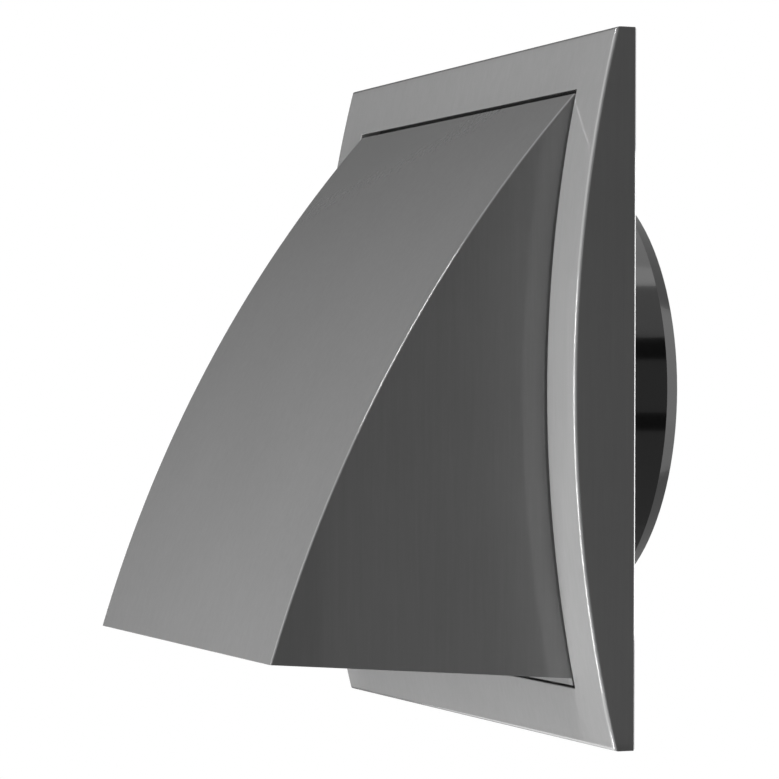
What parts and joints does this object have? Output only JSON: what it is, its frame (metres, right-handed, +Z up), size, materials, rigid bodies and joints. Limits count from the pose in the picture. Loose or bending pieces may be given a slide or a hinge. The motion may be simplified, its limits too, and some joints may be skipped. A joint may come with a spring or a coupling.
{
  "type": "ventilation grille",
  "caption": "Wall ventilation grille: arched square face frame, curved hood open below, gravity flap, insect screen and round spigot for a duct.",
  "frame": {"origin": "on the spigot's axis, in the plane of the wall at the back of the face frame and the wall base", "axes": "+Y into the wall along the duct, +Z up, +X to the right seen from the front; the front faces -Y"},
  "size_m": [0.15, 0.0981, 0.15],
  "materials": {
    "face_plastic": "satin",
    "base_plastic": "semi-gloss",
    "screen_plastic": "matt",
    "seal_rubber": "matt",
    "rod_steel": "drawn",
    "cap_steel": "zinc plated",
    "screw_steel": "zinc plated"
  },
  "bodies": {
    "housing": {"wall_base": "base_plastic", "face_frame": "face_plastic", "hood": "face_plastic", "flap_seal": "seal_rubber", "flap_hinge_rod": "rod_steel", "rod_cap_left": "cap_steel", "rod_cap_right": "cap_steel", "insect_screen": "screen_plastic", "frame_screw_top_left": "screw_steel", "frame_screw_top_right": "screw_steel", "frame_screw_bottom_left": "screw_steel", "frame_screw_bottom_right": "screw_steel"},
    "flap": {"backdraft_flap": "base_plastic"}
  },
  "joints": [
    {"name": "flap_hinge", "type": "hinge", "parent": "housing", "child": "flap", "pos_m": [0, -0.0092, 0.05], "axis": [-1, 0, 0], "range_deg": [0, 33]}
  ]
}
